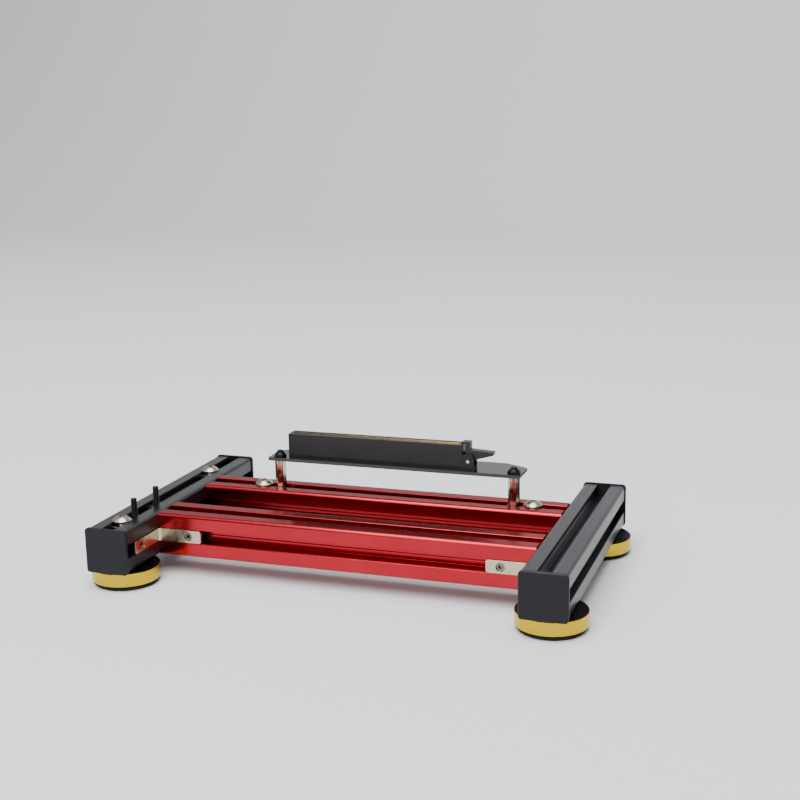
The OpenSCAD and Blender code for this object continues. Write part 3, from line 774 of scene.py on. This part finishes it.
# %% Bevelled copies
EDGE_ANGLE = math.radians(35)
FLAT_ANGLE = math.radians(0.5)
MERGE = 0.001
BEVEL_SEGMENTS = 3
SOFTENED = [
    ("connector_", 0.3, "nickel_cast"), ("cap_", 0.3, "cap_plastic"),
    ("foot_front", 0.1, "foot_black"), ("foot_rear", 0.1, "foot_black"),
    ("pad_", 0.4, "pad_rubber"), ("slot_screws", 0.12, "nickel_screw"),
    ("foot_screws", 0.12, "nickel_screw"), ("set_screws", 0.08, "nickel_screw"),
    ("screw_nuts", 0.2, "nickel_turned"), ("stud_nuts", 0.2, "black_steel"),
    ("standoff_nuts", 0.2, "nickel_turned"), ("foot_nuts", 0.2, "nickel_turned"),
    ("riser_board", 0.12, "board"),
    ("card_socket", 0.06, "socket_plastic"), ("socket_latch", 0.25, "latch_plastic"),
]


def softened(node_name, radius, body):
    """A copy of a solid with a rounded edge of this radius in millimetres."""
    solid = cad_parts[node_name]
    work = bmesh.new()
    work.from_mesh(solid.data)
    bmesh.ops.remove_doubles(work, verts=work.verts, dist=MERGE * MM)
    bmesh.ops.dissolve_limit(work, angle_limit=FLAT_ANGLE, verts=work.verts, edges=work.edges)
    mesh = bpy.data.meshes.new(node_name + "_soft")
    work.to_mesh(mesh)
    work.free()
    mesh.shade_smooth()
    mesh.set_sharp_from_angle(angle=EDGE_ANGLE)
    mesh.materials.append(solid.data.materials[0])
    made = bpy.data.objects.new(node_name + "_soft", mesh)
    bpy.context.collection.objects.link(made)
    bevel = made.modifiers.new("edge", "BEVEL")
    bevel.width = radius * MM
    bevel.segments = BEVEL_SEGMENTS
    bevel.limit_method = "ANGLE"
    bevel.angle_limit = EDGE_ANGLE
    bevel.harden_normals = True
    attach(made, body)
    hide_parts(node_name)
    return made


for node_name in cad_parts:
    for start, radius, slot in SOFTENED:
        if node_name.startswith(start):
            body = "latch" if node_name == "socket_latch" else "stand"
            soft = softened(node_name, radius, body)
            print(soft.name, len(soft.data.polygons), "faces, edge", radius, "mm")

# %% [markdown]
# ## The studio
# The stand is on a pale table that curves up into a pale wall, so no horizon shows from the
# camera. Large soft panels light it from above, from the front and from both sides, and
# one more lights the wall. The metal needs something bright to mirror, which is why the
# panels are big and close.

# %% Floor and backdrop
FLOOR_WIDTH = 6000
WALL_AT = 1500
WALL_BEND = 900
FRONT_EDGE = -2500
WALL_TOP = 3200
BEND_STEPS = 24
PAPER_GRAIN = 3


def backdrop():
    """A sweep: flat floor, a quarter circle of the bend's radius, then a straight wall."""
    turn = np.linspace(0, math.pi / 2, BEND_STEPS)
    run = np.concatenate([[FRONT_EDGE], WALL_AT + WALL_BEND * np.sin(turn),
                          [WALL_AT + WALL_BEND]])
    rise = np.concatenate([[0], WALL_BEND * (1 - np.cos(turn)), [WALL_TOP]])
    across = np.array([-FLOOR_WIDTH / 2, FLOOR_WIDTH / 2])
    points = np.stack([np.repeat(across, len(run)), np.tile(run, 2), np.tile(rise, 2)], 1) * MM
    count = len(run)
    first = np.arange(count - 1)
    faces = np.stack([first, first + count, first + count + 1, first + 1], 1)
    mesh = bpy.data.meshes.new("backdrop")
    mesh.from_pydata(points.tolist(), [], faces.tolist())
    mesh.shade_smooth()
    made = bpy.data.objects.new("backdrop", mesh)
    bpy.context.collection.objects.link(made)
    return made


paper, paper_tree, paper_shader = start_material("pale_paper")
paper_space = pattern_space(paper_tree, [PAPER_GRAIN] * 3)
paper_grain = add(paper_tree, "ShaderNodeTexNoise",
                  {"Vector": paper_space, "Scale": 1}).outputs["Fac"]
set_inputs(paper_tree, paper_shader, {
    "Base Color": ramp(paper_tree, paper_grain, two_tones("#E2E3E6", "#E4E5E8")),
    "Roughness": 0.8,
})
studio = backdrop()
studio.data.materials.append(paper)


# %% Lights
def panel(name, place, target, size, power):
    """A square soft light at a place in millimetres, turned so that its -Z meets the target."""
    light = bpy.data.lights.new(name, "AREA")
    light.shape = "SQUARE"
    light.size = size * MM
    light.energy = power
    made = bpy.data.objects.new(name, light)
    bpy.context.collection.objects.link(made)
    aim = np.subtract(target, place)
    distance = float(np.linalg.norm(aim))
    azimuth = math.atan2(-aim[0], aim[1])
    tilt = math.acos(-aim[2] / distance)
    made.matrix_world = (
        Matrix.Translation([value * MM for value in place])
        @ Matrix.Rotation(azimuth, 4, "Z")
        @ Matrix.Rotation(tilt, 4, "X")
    )


# Name, place, what it faces and width in millimetres, then watts
PANELS = [
    ("top_panel", (0, -750, 1420), (0, 0, 0), 1300, 34),
    ("left_panel", (-1300, -700, 1000), (0, 0, 50), 1200, 5),
    ("right_panel", (1400, -600, 1000), (0, 0, 50), 1200, 1.5),
    ("front_panel", (-150, -1600, 680), (0, 0, 0), 900, 8),
    ("wall_panel", (0, 300, 2200), (0, 2300, 700), 1600, 40),
]
for settings in PANELS:
    panel(*settings)
print(len(PANELS), "panels")

# %% [markdown]
# ## The room's own light
# The room grades from dark in front to bright behind and overhead. Its direction is the
# unit vector that the sky is looked up with, so Y tells front from back and Z tells height.

# %% Room light
DARK_FRONT, BRIGHT_BACK = -1.0, 0.4
LOW_SIDE, HIGH_SIDE = 0.05, 0.7
ROOM_STRENGTH = 0.55

world = bpy.data.worlds.new("room")
world.use_nodes = True
room = world.node_tree
way = add(room, "ShaderNodeSeparateXYZ", {
    "Vector": add(room, "ShaderNodeTexCoord").outputs["Generated"]})
toward_back = add(room, "ShaderNodeMapRange", {
    "Value": way.outputs["Y"], "From Min": DARK_FRONT, "From Max": BRIGHT_BACK})
above = add(room, "ShaderNodeMapRange", {
    "Value": way.outputs["Z"], "From Min": LOW_SIDE, "From Max": HIGH_SIDE})
bright = add(room, "ShaderNodeMath", {0: toward_back.outputs["Result"],
                                      1: above.outputs["Result"]}, operation="MAXIMUM")
shade = ramp(room, bright.outputs["Value"],
             [(0.0, "#4A4C50"), (0.5, "#B4B6BA"), (1.0, "#F2F3F5")])
room_light = room.nodes["Background"]
set_inputs(room, room_light, {"Color": shade, "Strength": ROOM_STRENGTH})
bpy.context.scene.world = world
print("studio lit")
